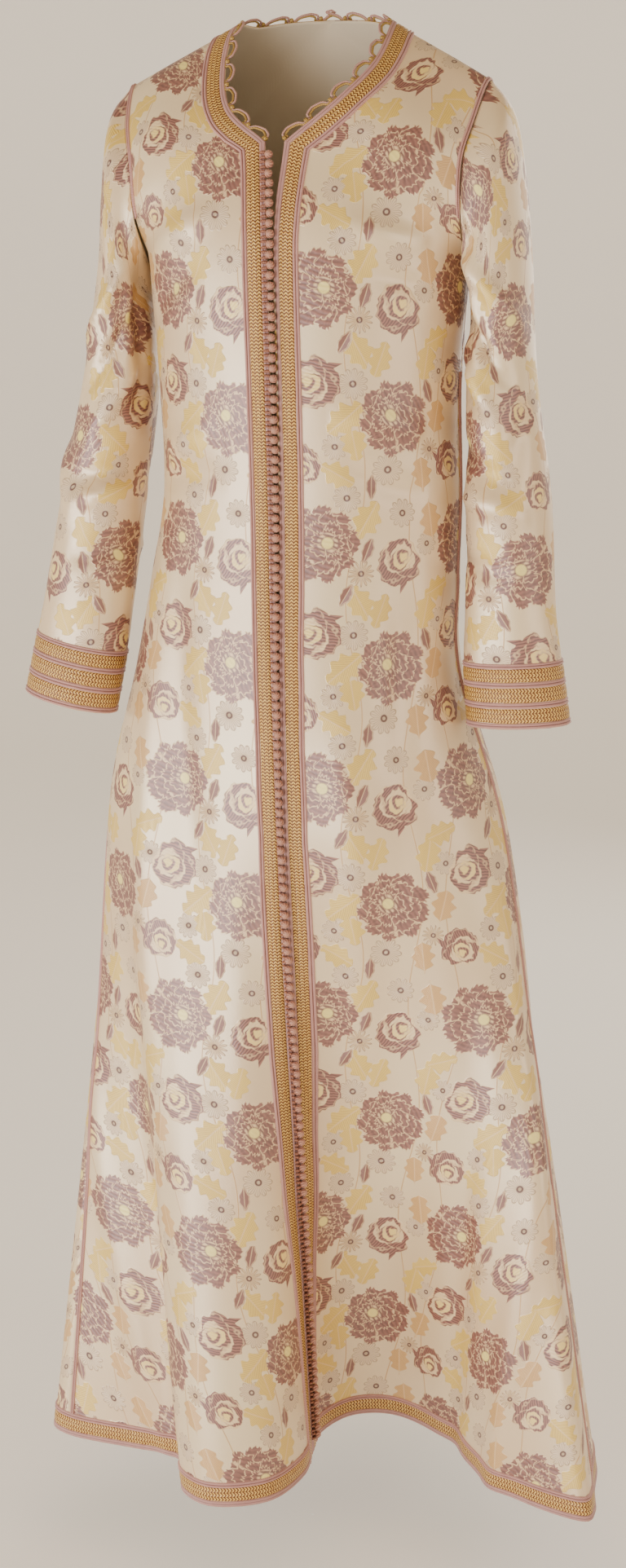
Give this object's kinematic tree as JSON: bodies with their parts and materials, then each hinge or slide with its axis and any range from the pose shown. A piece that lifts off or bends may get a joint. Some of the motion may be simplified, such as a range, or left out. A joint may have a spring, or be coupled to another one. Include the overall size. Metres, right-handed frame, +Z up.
{
  "type": "moroccan kaftan",
  "caption": "Full-length flared brocade kaftan with long sleeves, notched round neck, gold braid bands, corded seams and a button-and-loop front, hollow as worn.",
  "frame": {"origin": "between the two high shoulder points at the sides of the neck, where the wearer's shoulders carry the kaftan", "axes": "+Z up, -Y the way the wearer faces, +X to the wearer's left"},
  "size_m": [0.6045, 0.4126, 1.4479],
  "materials": {
    "brocade": "cream satin brocade woven with mauve roses, pale yellow leaves and silvery daisies",
    "pink_cord": "dusty pink twisted silk cord, laid in pairs",
    "gold_braid": "metallic gold braid with small slanted bars on dark brown",
    "loop_cord": "dark rose-brown braided cord",
    "button_cord": "rose silk worked over round button cores",
    "picot_lace": "pink and antique gold scalloped cord edging"
  },
  "bodies": {
    "root": {"armhole_cord_left": "pink_cord", "armhole_cord_right": "pink_cord", "back": "brocade", "button_loops": "loop_cord", "button_row": "button_cord", "cuff_left_braid_1": "gold_braid", "cuff_left_braid_2": "gold_braid", "cuff_left_braid_3": "gold_braid", "cuff_left_cord_1": "pink_cord", "cuff_left_cord_2": "pink_cord", "cuff_left_cord_3": "pink_cord", "cuff_left_cord_4": "pink_cord", "cuff_right_braid_1": "gold_braid", "cuff_right_braid_2": "gold_braid", "cuff_right_braid_3": "gold_braid", "cuff_right_cord_1": "pink_cord", "cuff_right_cord_2": "pink_cord", "cuff_right_cord_3": "pink_cord", "cuff_right_cord_4": "pink_cord", "front_left": "brocade", "front_left_braid_1": "gold_braid", "front_left_cord_1": "pink_cord", "front_left_cord_2": "pink_cord", "front_right": "brocade", "front_right_braid_1": "gold_braid", "front_right_cord_1": "pink_cord", "front_right_cord_2": "pink_cord", "hem_braid_1": "gold_braid", "hem_cord_1": "pink_cord", "hem_cord_2": "pink_cord", "neck_braid_1": "gold_braid", "neck_cord_1": "pink_cord", "neck_cord_2": "pink_cord", "neck_picot": "picot_lace", "side_cord_left": "pink_cord", "side_cord_right": "pink_cord", "sleeve_left": "brocade", "sleeve_right": "brocade"}
  },
  "joints": []
}
